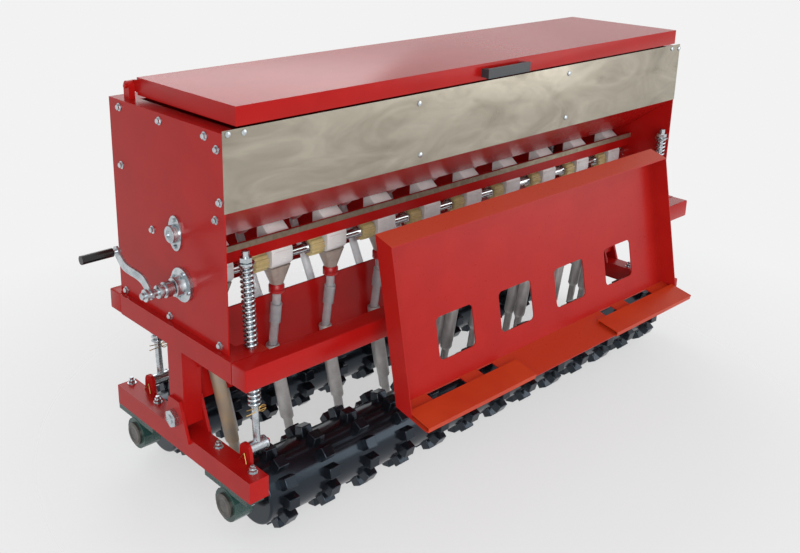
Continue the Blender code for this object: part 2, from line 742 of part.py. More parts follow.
def rear_chute_point(along):
    """(y, z) on a rear meter's chute, a distance down it from its mouth."""
    y, z = FRONT + REAR_SHAFT_Y - 0.020, TOP + REAR_SHAFT_RISE - 0.002
    return y + CHUTE_WAY[0] * along, z + CHUTE_WAY[1] * along


def shaft(name, y, z, reach):
    """A meter shaft with a feed roller and its collar beside each housing."""
    stations = [(-reach, SHAFT_RADIUS)]
    half = METER_WIDTH / 2
    for number in range(METER_COUNT):
        foot = meter_x(number) - half - FEED_CLEAR
        low, step = foot - FEED_LENGTH, foot - FEED_LENGTH - 0.008
        stations += [
            (step, SHAFT_RADIUS),
            (step, 0.020),
            (low, 0.020),
            (low, FEED_RADIUS),
            (foot, FEED_RADIUS),
            (foot, SHAFT_RADIUS),
        ]
    stations.append((reach, SHAFT_RADIUS))
    make(name, CREAM, [turned_x(stations, y, z, SHAFT_SIDES)], origin=(0, y, z))


def meter_bar():
    span = (-PLATE_IN + GAP, PLATE_IN - GAP)
    low, high = (TOP + h for h in METER_BAR_Z)
    front, back = (FRONT + a for a in METER_BAR)
    make("meter_bar", RED, [block(span, (front, back), (low, high))])
    strip = block(span, (front - 0.0043, front - GAP), (high - 0.016, high))
    make("meter_strip", GALVANISED, [strip])


def seed_tubes():
    board_y = FRONT + BOARD_Y
    front_top = [(FRONT + SHAFT_Y, TOP + CAP_FOOT - GAP), (FRONT + SHAFT_Y, TOP + CAP_FOOT - 0.020)]
    rear_top = [rear_chute_point(REAR_CHUTE + GAP), rear_chute_point(REAR_CHUTE + 0.014)]
    rows = (
        # name, the hoses' first two (y, z), side of the board, shift in the left and right half
        ("front", front_top, -1, (0.0, 0.0)),
        ("rear", rear_top, 1, REAR_SPOUT_SHIFT),
    )
    levels = (
        # height from the frame's top face, radius
        (SPOUT_TOP, SPOUT_RADIUS),
        (SPOUT_STEP, SPOUT_RADIUS),
        (SPOUT_STEP - 0.012, SPOUT_TIP),
        (SPOUT_END, SPOUT_TIP),
    )
    for name, top, side, shifts in rows:
        y = board_y + side * (BOARD_THICK / 2 + GAP + SPOUT_RADIUS)
        hoses, spouts = [], []
        for number in range(METER_COUNT):
            x = meter_x(number)
            inward = -1 if x > 0 else 1
            head = x + shifts[x > 0]
            points = [(x, *p) for p in top] + [(head, y, TOP + SPOUT_TOP - 0.006)]
            hoses.append(pipe(points, HOSE_RADIUS))
            rings = []
            for height, radius in levels:
                middle = head + inward * SPOUT_LEAN * (SPOUT_TOP - height)
                rings.append([(*p, TOP + height) for p in circle(radius, 12, (middle, y))])
            spouts.append(loft(rings))
        reach = meter_x(METER_COUNT - 1) + 0.04
        edge = board_y + side * (BOARD_THICK / 2 + GAP)
        depth = tuple(sorted((edge, edge + side * SPOUT_RADIUS / 2)))
        strap = block((-reach, reach), depth, (TOP + SPOUT_TOP - 0.050, TOP + SPOUT_TOP - 0.025))
        make(f"{name}_seed_tubes", GREY, [strap, joined(hoses), joined(spouts)])


def guard_point(down, out=0.0):
    """(y, z) in the plane of the guard's front edges, a distance down its slope and out from it."""
    along = (-math.sin(GUARD_TILT), -math.cos(GUARD_TILT))
    away = (-math.cos(GUARD_TILT), math.sin(GUARD_TILT))
    return (
        FRONT + GUARD_TOP_Y + along[0] * down + away[0] * out,
        TOP + GUARD_TOP + along[1] * down + away[1] * out,
    )


def step_point(forward, up=0.0):
    """(y, z) at the step: a distance outwards from its fold and up from its upper face."""
    y, z = guard_point(GUARD_HEIGHT, -GUARD_FLANGE)
    s, c = math.sin(STEP_FALL), math.cos(STEP_FALL)
    return y - c * forward - s * up, z - s * forward + c * up


def guard():
    """A tray on its side: a plate set back behind its top and side flanges, and a step at its foot."""
    t = GUARD_PLATE
    fold = t * math.tan((math.pi / 2 - GUARD_TILT - STEP_FALL) / 2)
    outline = [
        guard_point(0),
        guard_point(-GUARD_CREST, -GUARD_FLANGE - t),
        guard_point(GUARD_HEIGHT + fold, -GUARD_FLANGE - t),
        step_point(STEP_WIDTH, -t),
        step_point(STEP_WIDTH),
        step_point(0),
        guard_point(-GUARD_CREST + 1.2 * t, -GUARD_FLANGE),
        guard_point(1.2 * t),
    ]
    skin = prism(outline, GUARD_X, "x")
    crossing = GUARD_FLANGE / math.cos(GUARD_TILT + STEP_FALL)  # of the front edge with the step
    cheek = [
        guard_point(t / 2, -t / 8),
        guard_point(-GUARD_CREST + t / 2, -GUARD_FLANGE - t / 2),
        guard_point(GUARD_HEIGHT, -GUARD_FLANGE - t / 2),
        step_point(crossing, -t / 2),
    ]
    cheeks = [
        prism(cheek, (GUARD_X[0], GUARD_X[0] + t), "x"),
        prism(cheek, (GUARD_X[1] - t, GUARD_X[1]), "x"),
    ]
    windows = []
    for number in range(WINDOW_COUNT):
        middle = (number - (WINDOW_COUNT - 1) / 2) * WINDOW_PITCH
        low, high = middle - WINDOW[0] / 2, middle + WINDOW[0] / 2
        rings = []
        for out in (0.02 - GUARD_FLANGE, -0.02 - GUARD_FLANGE):
            ring = []
            for x, down in rounded(low, high, WINDOW_TOP, WINDOW_TOP + WINDOW[1], 0.014):
                y, z = guard_point(down, out)
                ring.append((x, y, z))
            rings.append(ring)
        windows.append(loft(rings))
    slots = []
    for start, length in SLOTS:
        corners = [step_point(a, b) for a, b in block_corners(SLOT, (-0.02, 0.02))]
        slot = prism(corners, (start, start + length), "x")
        slots += [slot, mirrored(slot)]
    make("guard_panel", RED, [skin, joined(cheeks)], [joined(windows), joined(slots)])
    edge = STEP_WIDTH + TREAD_LIP
    channel = [
        (TREAD_BACK, GAP),
        (TREAD_BACK + t, GAP),
        (TREAD_BACK + t, TREAD_HEIGHT - t),
        (edge - t, TREAD_HEIGHT - t),
        (edge - t, -t),
        (edge, -t),
        (edge, TREAD_HEIGHT),
        (TREAD_BACK, TREAD_HEIGHT),
    ]
    tread = [step_point(a, b) for a, b in channel]
    left = (GUARD_X[0] + t + GAP, -TREAD_START)
    right = (TREAD_START, GUARD_X[1] - t - GAP)
    make("left_step_tread", RED, [prism(tread, left, "x")])
    make("right_step_tread", RED, [prism(tread, right, "x")])
    for side, x in zip(("left", "right"), ARM_X):
        z = TOP + GAP
        rise = 0.045
        face = [back_at(z + 0.004), back_at(z + rise)]
        arm = [(FRONT + TUBE - 0.005, z), (FRONT + TUBE - 0.005, z + rise), face[1], face[0], (FRONT, z)]
        span = (x - ARM_THICK / 2, x + ARM_THICK / 2)
        make(f"{side}_guard_arm", RED, [prism(arm, span, "x")])


def block_corners(a, b):
    """The four corners of a rectangle, in order."""
    return [(a[0], b[0]), (a[1], b[0]), (a[1], b[1]), (a[0], b[1])]


def back_at(z):
    """(y, z) just behind the guard plate's back face at a height."""
    y = FRONT + GUARD_TOP_Y - math.tan(GUARD_TILT) * (TOP + GUARD_TOP - z)
    return y + (GUARD_FLANGE + GUARD_PLATE + GAP) / math.cos(GUARD_TILT), z


def rounded(x0, x1, z0, z1, radius):
    """A rectangle with round corners."""
    corners = ((x1 - radius, z1 - radius, 0), (x0 + radius, z1 - radius, 1))
    corners += ((x0 + radius, z0 + radius, 2), (x1 - radius, z0 + radius, 3))
    points = []
    for x, z, quarter in corners:
        for a in arc(quarter * math.pi / 2, (quarter + 1) * math.pi / 2, 3):
            points.append((x + radius * math.cos(a), z + radius * math.sin(a)))
    return points


def crank():
    y, z = FRONT + SHAFT_Y, TOP + SHAFT_RISE
    outside = -PLATE_IN - PLATE - GAP
    flange = turned_x([(outside - 0.010, FLANGE_RADIUS), (outside, FLANGE_RADIUS)], y, z, 24)
    neck = turned_x([(outside - 0.034, 0.022), (outside - 0.005, 0.022)], y, z, 16)
    hole = SHAFT_RADIUS + FLANGE_PLAY
    bore = turned_x([(outside - 0.05, hole), (outside + 0.01, hole)], y, z, 16)
    make("crank_flange", ZINC, [flange, neck], [bore])
    arm_x = -END - CRANK_REACH
    spindle = turned_x([(arm_x - 0.024, 0.009), (-END + 0.003, 0.009)], y, z, 12)
    nut = turned_x([(arm_x + 0.004, 0.016), (arm_x + 0.030, 0.016)], y, z, 12)
    sleeve = turned_x([(outside - 0.052, 0.020), (outside - 0.034 - GAP, 0.020)], y, z, 16)
    tip_y = y + CRANK_ARM * math.cos(CRANK_ANGLE)
    tip_z = z + CRANK_ARM * math.sin(CRANK_ANGLE)
    across = Vector((-math.sin(CRANK_ANGLE), math.cos(CRANK_ANGLE))) * 0.013
    along = Vector((math.cos(CRANK_ANGLE), math.sin(CRANK_ANGLE))) * 0.014
    foot, tip = Vector((y, z)) - along, Vector((tip_y, tip_z)) + along
    corners = [tuple(p) for p in (foot - across, tip - across, tip + across, foot + across)]
    arm = prism(corners, (arm_x - 0.003, arm_x + 0.003), "x")
    stem = bar((arm_x, tip_y, tip_z), (arm_x - 0.012, tip_y, tip_z), 0.006)
    make("crank", ZINC, [arm, spindle, nut, sleeve, stem])
    grip_end = arm_x - 0.008 - GRIP_LENGTH
    grip = bar((arm_x - 0.0125, tip_y, tip_z), (grip_end, tip_y, tip_z), GRIP_RADIUS, 16)
    make("crank_grip", DARK, [grip])

    def plate_bearing(side, place):
        y, z = FRONT + AGITATOR_Y, TOP + AGITATOR_RISE
        oval = [(y + 0.030 * a, z + 0.048 * b) for a, b in circle(1, 20)]
        flange = prism(oval, (outside - 0.005, outside), "x")
        hub = turned_x([(outside - 0.020, 0.022), (outside - 0.003, 0.022)], y, z, 16)
        hole = AGITATOR_RADIUS + RUNNING
        bore = turned_x([(outside - 0.03, hole), (outside + 0.01, hole)], y, z, 16)
        make(f"{side}_plate_bearing", ZINC, [place(flange), place(hub)], [place(bore)])

    sides(plate_bearing)


def hitch():
    y = REAR
    pin_y, pin_z = y + HITCH_REACH - 0.030, TOP - TUBE - 0.010
    for side, sign in (("left", -1), ("right", 1)):
        plates = []
        for offset in (-1, 1):
            x = sign * HITCH_SPREAD + offset * (HITCH_SLOT + HITCH_PLATE) / 2
            outline = [
                (y + GAP, TOP),
                (y + 0.040, TOP),
                (y + HITCH_REACH, pin_z + 0.020),
                (y + HITCH_REACH, pin_z - 0.025),
                (y + 0.020, pin_z - 0.025),
                (y + GAP, TOP - TUBE),
            ]
            plates.append(prism(outline, (x - HITCH_PLATE / 2, x + HITCH_PLATE / 2), "x"))
        reach = HITCH_SLOT / 2 + HITCH_PLATE + 0.012
        low, high = sign * HITCH_SPREAD - reach, sign * HITCH_SPREAD + reach
        pin = bar((low, pin_y, pin_z), (high, pin_y, pin_z), HITCH_PIN)
        pad_x = (sign * HITCH_SPREAD - 0.045, sign * HITCH_SPREAD + 0.045)
        pad = block(pad_x, (y + GAP, y + 0.010), (TOP - TUBE, TOP))
        make(f"{side}_hitch_bracket", RED, [pad, joined(plates), pin])
    z = TOP + GAP
    legs = []
    for sign in (-1, 1):
        x = sign * MAST_SPREAD
        top_x = sign * 0.034
        leg = [(x - 0.025, z), (x + 0.025, z), (top_x + 0.012, z + MAST_HEIGHT), (top_x - 0.012, z + MAST_HEIGHT)]
        legs.append(prism(leg, (REAR - 0.020, REAR + 0.020), "y"))
    head = block((-0.050, 0.050), (REAR - 0.018, REAR + 0.018), (z + MAST_HEIGHT - 0.100, z + MAST_HEIGHT - 0.060))
    feet = block((-MAST_SPREAD - 0.040, MAST_SPREAD + 0.040), (REAR - 0.030, REAR + 0.030), (z, z + 0.010))
    ears = [
        block((x - 0.006, x + 0.006), (REAR - 0.015, REAR + HITCH_REACH), (z + MAST_HEIGHT - 0.070, z + MAST_HEIGHT))
        for x in (-0.034, 0.034)
    ]
    pin = bar((-0.052, REAR + 0.055, z + MAST_HEIGHT - 0.035), (0.052, REAR + 0.055, z + MAST_HEIGHT - 0.035), 0.0095)
    make("hitch_mast", RED, [feet, joined(legs), head, joined(ears), pin])


remove_everything()
MACHINE = bpy.data.objects.new("machine", None)
MACHINE.location = ((GRIP_END - PIVOT_END) / 2, -(STEP_EDGE_Y + REAR + HITCH_REACH) / 2, 0)
bpy.context.scene.collection.objects.link(MACHINE)
frame()
rocking_beams()
bearings()
rollers()
spring_rods()
hopper()
lid()
meters()
meter_bar()
seed_tubes()
guard()
crank()
hitch()
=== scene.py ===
"""The finish of a two-roller seed drill: enamel, stainless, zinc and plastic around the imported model."""

import json
import math

import bmesh
import bpy
import numpy as np
from mathutils import Euler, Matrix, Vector


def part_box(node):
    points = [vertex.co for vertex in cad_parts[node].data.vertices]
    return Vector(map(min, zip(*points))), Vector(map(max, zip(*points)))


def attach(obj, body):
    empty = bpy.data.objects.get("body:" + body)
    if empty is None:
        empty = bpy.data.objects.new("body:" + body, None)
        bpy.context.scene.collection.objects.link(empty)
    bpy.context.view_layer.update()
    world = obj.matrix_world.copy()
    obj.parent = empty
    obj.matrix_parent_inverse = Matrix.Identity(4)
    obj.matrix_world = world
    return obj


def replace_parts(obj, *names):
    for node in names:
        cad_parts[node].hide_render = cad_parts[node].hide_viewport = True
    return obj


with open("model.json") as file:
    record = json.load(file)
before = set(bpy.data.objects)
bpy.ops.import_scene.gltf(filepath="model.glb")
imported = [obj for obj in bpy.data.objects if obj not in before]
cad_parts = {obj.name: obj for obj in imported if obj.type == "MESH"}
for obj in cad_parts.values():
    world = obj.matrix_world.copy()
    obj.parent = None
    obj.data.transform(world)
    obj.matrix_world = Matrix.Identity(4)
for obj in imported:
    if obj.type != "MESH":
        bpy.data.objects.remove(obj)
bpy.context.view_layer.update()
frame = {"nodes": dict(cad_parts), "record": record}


def linear(hex_colour):
    """sRGB hex to linear RGBA: each channel through the sRGB curve."""
    channels = [int(hex_colour[i : i + 2], 16) / 255 for i in (0, 2, 4)]
    return [c / 12.92 if c <= 0.04045 else ((c + 0.055) / 1.055) ** 2.4 for c in channels] + [1.0]


def add(tree, kind, links=(), **settings):
    """Adds one node; settings are its properties or input values, links its (input, socket) pairs."""
    node = tree.nodes.new(kind)
    for name, value in settings.items():
        if hasattr(node, name):
            setattr(node, name, value)
        else:
            node.inputs[name.replace("_", " ").title()].default_value = value
    for name, socket in links:
        tree.links.new(node.inputs[name], socket)
    return node

# the part of its range that noise really fills, and the steepness over which a face counts as a top and takes
# the painted top light
NOISE_RANGE = {"From_Min": 0.3, "From_Max": 0.7}
LIT_TOP_RANGE = {"From_Min": 0.60, "From_Max": 0.85}
GLOSS_SWING = 0.25
BUMP_STRENGTH = 0.5
# a colour mix node's two colours and its result, by place, because their names repeat
MIX_FIRST, MIX_SECOND, MIX_RESULT = 6, 7, 2


def finish_of(
    name, colour, second, metallic, roughness, grain_mm, bump_mm,
    patch=0.11, swirl=0.0, stretch=1.0, painted_top_light=None, **values,
):
    """A finish of two near colours mixed by noise, with varied gloss and fine bump.

    patch, in metres, and grain_mm are the sizes of the colour patches and of the bump. swirl twists the
    patches, stretch draws them out along x, and the colour given for faces that look up is a painted top
    light: the warm light that such faces catch.
    """
    made = bpy.data.materials.new(name)
    made.use_nodes = True
    tree = made.node_tree
    shader = tree.nodes["Principled BSDF"]
    shader.inputs["Metallic"].default_value = metallic
    for key, value in values.items():
        shader.inputs[key.replace("_", " ")].default_value = value
    place = add(tree, "ShaderNodeTexCoord").outputs["Object"]
    if stretch != 1.0:
        pulled = add(tree, "ShaderNodeVectorMath", [(0, place)], operation="MULTIPLY")
        pulled.inputs[1].default_value = (1 / stretch, 1, 1)
        place = pulled.outputs[0]
    where = [("Vector", place)]
    patches = add(tree, "ShaderNodeTexNoise", where, Scale=1 / patch, Detail=4.0, Distortion=swirl)
    spread = add(tree, "ShaderNodeMapRange", [("Value", patches.outputs["Fac"])], **NOISE_RANGE)
    base = add(tree, "ShaderNodeMix", [(0, spread.outputs["Result"])], data_type="RGBA")
    base.inputs[MIX_FIRST].default_value = linear(colour)
    base.inputs[MIX_SECOND].default_value = linear(second)
    # faces that look up are mixed toward a painted warm light colour, which stands for the light that tops
    # catch
    if painted_top_light:
        normal = add(tree, "ShaderNodeNewGeometry").outputs["Normal"]
        level = add(tree, "ShaderNodeSeparateXYZ", [("Vector", normal)])
        rise = add(tree, "ShaderNodeMapRange", [("Value", level.outputs["Z"])], **LIT_TOP_RANGE)
        links = [(0, rise.outputs["Result"]), (MIX_FIRST, base.outputs[MIX_RESULT])]
        base = add(tree, "ShaderNodeMix", links, data_type="RGBA")
        base.inputs[MIX_SECOND].default_value = linear(painted_top_light)
    tree.links.new(shader.inputs["Base Color"], base.outputs[MIX_RESULT])
    grain = add(tree, "ShaderNodeTexNoise", where, Scale=1000 / grain_mm, Detail=3.0)
    chosen = spread.outputs["Result"] if swirl else grain.outputs["Fac"]
    dull, glossy = roughness * (1 + GLOSS_SWING), roughness * (1 - GLOSS_SWING)
    gloss = add(tree, "ShaderNodeMapRange", [("Value", chosen)], To_Min=glossy, To_Max=dull)
    tree.links.new(shader.inputs["Roughness"], gloss.outputs["Result"])
    height = [("Height", grain.outputs["Fac"])]
    bump = add(tree, "ShaderNodeBump", height, Distance=bump_mm / 1000, Strength=BUMP_STRENGTH)
    tree.links.new(shader.inputs["Normal"], bump.outputs["Normal"])
    return made


# Two-coat enamel sprayed on tube and sheet: signal red with a wet gloss and a faint orange peel.
RED = finish_of("red_enamel", "AC1412", "B51815", 0.0, 0.24, 6.0, 0.08, Specular_IOR_Level=0.18)
# The guard panel and step, sprayed a shade nearer orange; the brighter orange on their up-facing faces is
# painted warm light.
GUARD_RED = finish_of(
    "guard_enamel", "AB1A17", "B4201A", 0.0, 0.30, 6.0, 0.08, painted_top_light="C23A20", Specular_IOR_Level=0.16
)
# The step treads: red enamel made orange all over. The orange is painted warm light of the kind that their
# tops catch.
STEP_LIT_RED = finish_of("step_enamel_lit", "BE3516", "C83F1A", 0.0, 0.36, 6.0, 0.08, Specular_IOR_Level=0.18)
# Stainless ground in overlapping swirls, like marble from a distance.
STAINLESS = finish_of(
    "stainless_sheet", "B4AD9E", "8A8376", 1.0, 0.22, 12.0, 0.05, patch=0.10, swirl=1.6, stretch=2.6
)
# Bright zinc plate on rods, bolts and castings, faintly blue.
ZINC = finish_of("zinc_plate", "CBD2D6", "A6ADB2", 1.0, 0.26, 2.0, 0.05, patch=0.02)
# Turned and polished steel of the meter shaft.
STEEL = finish_of("polished_steel", "DADCDD", "C2C5C8", 1.0, 0.18, 1.0, 0.02, patch=0.03)
# Steel darkened by oil on the axle ends.
DARK_STEEL = finish_of("oiled_steel", "6E6C68", "54524F", 0.9, 0.36, 2.0, 0.05, patch=0.02)
# Galvanised strip gone tan with dust.
GALVANISED = finish_of("galvanised_strip", "A79F8B", "857C68", 0.6, 0.40, 4.0, 0.08, patch=0.03, swirl=1.0)
# Brass-coloured passivation on washers and clips.
BRASS = finish_of("passivated_brass", "C9A768", "A98A4F", 1.0, 0.30, 1.5, 0.04, patch=0.01)
# Gloss black paint on the rollers, bluish where it mirrors the sky.
BLACK = finish_of(
    "black_roller_paint", "0D0E11", "16181D", 0.0, 0.20, 9.0, 0.12, Specular_Tint=(0.62, 0.80, 1.0, 1.0)
)
# Dark green enamel on the pressed bearing housings.
GREEN = finish_of("bearing_enamel", "1E3A36", "2A4A43", 0.0, 0.28, 3.0, 0.06, patch=0.03)
# Injection-moulded white polypropylene, slightly waxy.
WHITE = finish_of("white_polypropylene", "ECECEA", "DFDFDC", 0.0, 0.38, 1.5, 0.03, patch=0.03)
# Smoked translucent polycarbonate funnels with seed dust inside.
SMOKED = finish_of(
    "smoked_funnel", "D2C4B6", "B09F95", 0.0, 0.30, 2.0, 0.04, patch=0.02, Transmission_Weight=0.45
)
# Clear flexible hose, milky where it is pushed on.
CLEAR = finish_of(
    "clear_hose", "E9EBED", "D5D8DB", 0.0, 0.22, 3.0, 0.04, patch=0.02, Transmission_Weight=0.6
)
# Cream nylon feed rollers and ears.
CREAM = finish_of("cream_nylon", "CDBB86", "BBA870", 0.0, 0.42, 1.5, 0.03, patch=0.02)
# Red moulded caps at the funnels' necks.
CAP_RED = finish_of("red_plastic", "B71B1C", "A01518", 0.0, 0.34, 1.5, 0.03, patch=0.02)
# Seed tubes of galvanised steel, grey with a white bloom.
SPOUT = finish_of("spout_steel", "C2C0BE", "A9A6A3", 0.3, 0.40, 3.0, 0.06, patch=0.03)
TAN_SPOUT = finish_of("weathered_spout", "B29A7C", "9C9284", 0.25, 0.45, 3.0, 0.06, patch=0.05)
# Moulded dark grey plastic of the lid handle, and the crank's glossy black grip.
DARK = finish_of("dark_plastic", "33373B", "2A2D31", 0.0, 0.42, 1.2, 0.04)
GRIP = finish_of("black_grip", "0C0C0D", "151516", 0.0, 0.14, 4.0, 0.03)

FINISH = {
    "red_enamel": RED,
    "stainless_sheet": STAINLESS,
    "zinc_plate": ZINC,
    "galvanised_strip": GALVANISED,
    "black_roller_paint": BLACK,
    "bearing_enamel": GREEN,
    "white_polypropylene": WHITE,
    "cream_nylon": CREAM,
    "spout_steel": SPOUT,
    "dark_plastic": DARK,
}
# nodes whose finish is not the usual one of their slot
OWN = {
    "guard_panel": GUARD_RED,
    "left_step_tread": STEP_LIT_RED,
    "right_step_tread": STEP_LIT_RED,
    "crank_grip": GRIP,
}
for entry in frame["record"]["subparts"]:
    node = frame["nodes"][entry["node"]]
    for holder in node.material_slots:
        holder.material = OWN.get(entry["node"], FINISH[entry["material_slot"]])
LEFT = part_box("left_end_beam")[0][0]
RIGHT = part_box("right_end_beam")[1][0]
END = (RIGHT - LEFT) / 2
# the middle of the front beam's front top edge: the sizes below count y back and z up from here
ORIGIN = np.array([(LEFT + RIGHT) / 2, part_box("front_beam")[0][1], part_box("front_beam")[1][2]])
# the two meter shafts' lines, and the meters' places along them
FRONT_LINE = (0.285, 0.130)
REAR_LINE = (0.512, 0.212)
METER_PITCH = 0.1987
METER_X = [(number - 4.5) * METER_PITCH for number in range(10)]
REAR_TUBE_SHIFT = 0.030
# the running gear behind ORIGIN: axles, the bearings' bolts and the spring rods
AXLE_Y = (0.112, 0.568)
BEARING_BOLT_Y = (0.036, 0.188, 0.494, 0.641)
ROD_Y = (0.092, 0.567)
ROD_IN = 0.085
ROD_LEAN = math.tan(math.radians(2.5))
SMOOTH_ANGLE = math.radians(35)
# how far a bolt's head stands off the face it sits on
SEAT = 0.0002


def piece_of(name, points, faces, look, slot, body="root"):
    """A mesh piece with its place in its points, its finish, its slot and the body it rides on; the slot is
    not used.
    """
    mesh = bpy.data.meshes.new(name)
    mesh.from_pydata(np.asarray(points, float).tolist(), [], faces)
    work = bmesh.new()
    work.from_mesh(mesh)
    bmesh.ops.recalc_face_normals(work, faces=work.faces)
    work.to_mesh(mesh)
    work.free()
    mesh.materials.append(look)
    mesh.shade_smooth()
    mesh.set_sharp_from_angle(angle=SMOOTH_ANGLE)
    made = bpy.data.objects.new(name, mesh)
    bpy.context.scene.collection.objects.link(made)
    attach(made, body)
    return made


def grid_faces(rows, columns, base=0, close=True):
    """Quads of a grid of rows by columns points, closed round the columns."""
    k = np.arange(rows - 1)[:, None] * columns
    j = np.arange(columns if close else columns - 1)[None, :]
    n = (j + 1) % columns
    quads = np.stack([k + j, k + n, k + columns + n, k + columns + j], -1).reshape(-1, 4)
    return (quads + base).tolist()


def turned(profile, centre, axis, sides=32):
    """A turned piece: point = centre + axis*along + radius*(cos a, sin a) across, for the profile's pairs."""
    along, radius = np.array(profile, float).T
    axis = np.array(axis, float) / np.linalg.norm(axis)
    first = np.cross(axis, (0.0, 1.0, 0.0) if abs(axis[1]) < 0.9 else (1.0, 0.0, 0.0))
    first /= np.linalg.norm(first)
    second = np.cross(axis, first)
    a = np.linspace(0, 2 * np.pi, sides, endpoint=False)
    ring = np.cos(a)[:, None] * first + np.sin(a)[:, None] * second
    points = np.array(centre) + along[:, None, None] * axis + radius[:, None, None] * ring
    faces = grid_faces(len(along), sides)
    count = len(along) * sides
    faces = [face[::-1] for face in faces]
    faces += [list(range(sides)), list(range(count - 1, count - sides - 1, -1))]
    return points.reshape(-1, 3), faces


def gathered(shapes):
    """Several shapes as one list of points and faces."""
    points, faces, base = [], [], 0
    for more, loops in shapes:
        points.append(np.asarray(more, float))
        faces += [[base + i for i in loop] for loop in loops]
        base += len(more)
    return np.concatenate(points), faces


def placed(shapes):
    """Several shapes gathered and moved from ORIGIN to the machine's place."""
    points, faces = gathered(shapes)
    return points + ORIGIN, faces


def lug_rollers():
    """Each roller: a barrel on its axle with rings of square lugs, each a box carried round by its angle."""
    rings, ring_pitch, lugs = 13, 0.144, 12
    lug_width, lug_length, foot_share, crown_share = 0.040, 0.035, 0.5, 0.44
    barrel, barrel_end, lip, crown_drop = 0.090, 0.924, 0.004, 0.002
    axle, axle_end = 0.022, 0.970
    end = [(-axle_end, axle), (-barrel_end, axle), (-barrel_end, barrel - lip), (lip - barrel_end, barrel)]
    profile = end + [(-along, radius) for along, radius in end[::-1]]
    # a lug's corners as signs along x and across, and 0 at its foot or 1 at its crown
    corners = np.array([[x, t, r] for r in (0, 1) for t in (-1, 1) for x in (-1, 1)], float)
    box_faces = [[0, 2, 3, 1], [4, 5, 7, 6], [0, 1, 5, 4], [2, 6, 7, 3], [0, 4, 6, 2], [1, 3, 7, 5]]
    crown = corners[:, 2] > 0
    share = np.where(crown, crown_share, foot_share)
    across = corners[:, 1] * lug_length * share
    for body in ("front_roller", "rear_roller"):
        low, high = (np.array(v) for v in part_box(body))
        middle = (low + high) / 2
        radius = np.where(crown, (high[2] - low[2]) / 2 - crown_drop, barrel - lip)
        shapes = [turned(profile, middle, (1, 0, 0), 72)]
        for ring in range(rings):
            x = (ring - (rings - 1) / 2) * ring_pitch + corners[:, 0] * lug_width * share
            for lug in range(lugs):
                turn = 2 * np.pi * (lug + 0.5 * (ring % 2)) / lugs
                y = across * np.cos(turn) - radius * np.sin(turn)
                z = across * np.sin(turn) + radius * np.cos(turn)
                shapes.append((np.stack([x, y, z], 1) + middle, box_faces))
        points, faces = gathered(shapes)
        roller = piece_of(f"{body}_lugs", points, faces, BLACK, "black_roller_paint", body)
        bevel = roller.modifiers.new("edges", "BEVEL")
        bevel.width = 0.002
        bevel.segments = 2
        bevel.limit_method = "ANGLE"
        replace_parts(roller, body)


def springs():
    """Spring rods: coils with tube middle = rod + coil*(cos, sin), nuts above and an eye below."""
    wire_radius, coil_radius, steps_per_turn = 0.0032, 0.0148, 14
    rod_radius, rod_up, rod_down = 0.0098, 0.266, 0.276
    eye_inset, eye_down = 0.056, 0.285
    # each coil's start and end above the frame's top, and its turns
    coils = ((0.003, 0.232, 17), (-0.166, -0.009, 12))
    # the tip, the washer and the nut: height, length, radius and sides
    tops = ((0.251, 0.030, 0.010, 24), (0.234, 0.003, 0.022, 24), (0.243, 0.012, 0.017, 6))
    eye = [(0, 0.017), (0.052, 0.017), (0.0521, 0.0196), (0.0555, 0.0196)]
    a = np.linspace(0, 2 * np.pi, 6, endpoint=False)
    rise = np.sin(a)[None, :, None] * np.array([0, 0, 1.0])
    top = ORIGIN[2]
    for name in ("front_left", "rear_left", "front_right", "rear_right"):
        low, high = (np.array(v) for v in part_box(f"{name}_spring_rod"))
        left = "left" in name
        sign = 1 if left else -1
        lean = ROD_LEAN * sign
        foot_x = (LEFT if left else RIGHT) + sign * ROD_IN
        y = (low[1] + high[1]) / 2
        shapes = []
        for start, end, turns in coils:
            t = np.linspace(0, 1, turns * steps_per_turn + 1)
            angle = 2 * np.pi * turns * t
            h = start + (end - start) * t
            out = np.stack([np.cos(angle), np.sin(angle), 0 * angle], 1)
            rod = np.stack([foot_x - lean * h, y + 0 * h, top + h], 1)
            middle = rod + coil_radius * out
            round_wire = wire_radius * (np.cos(a)[None, :, None] * out[:, None] + rise)
            shapes.append(lofted(middle[:, None] + round_wire))
        for h, length, radius, sides in tops:
            at = (foot_x - lean * h, y, top + h - length / 2)
            shapes.append(turned([(0, radius), (length, radius)], at, (0, 0, 1), sides))
        rod = [(0, rod_radius), (rod_up + rod_down, rod_radius)]
        shapes.append(turned(rod, (foot_x + lean * rod_down, y, top - rod_down), (-lean, 0, 1.0), 20))
        inner = high[0] if left else low[0]
        shapes.append(turned(eye, (inner - sign * eye_inset, y, top - eye_down), (sign, 0, 0), 28))
        points, faces = gathered(shapes)
        made = piece_of(f"{name}_spring", points, faces, ZINC, "zinc_plate")
        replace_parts(made, f"{name}_spring_rod")


def bolt_head(at, way, washer, head, sides=20):
    """A six-sided head on a round washer, their profiles counted from the point at, out along the way."""
    return [turned(washer, at, way, sides), turned(head, at, way, 6)]


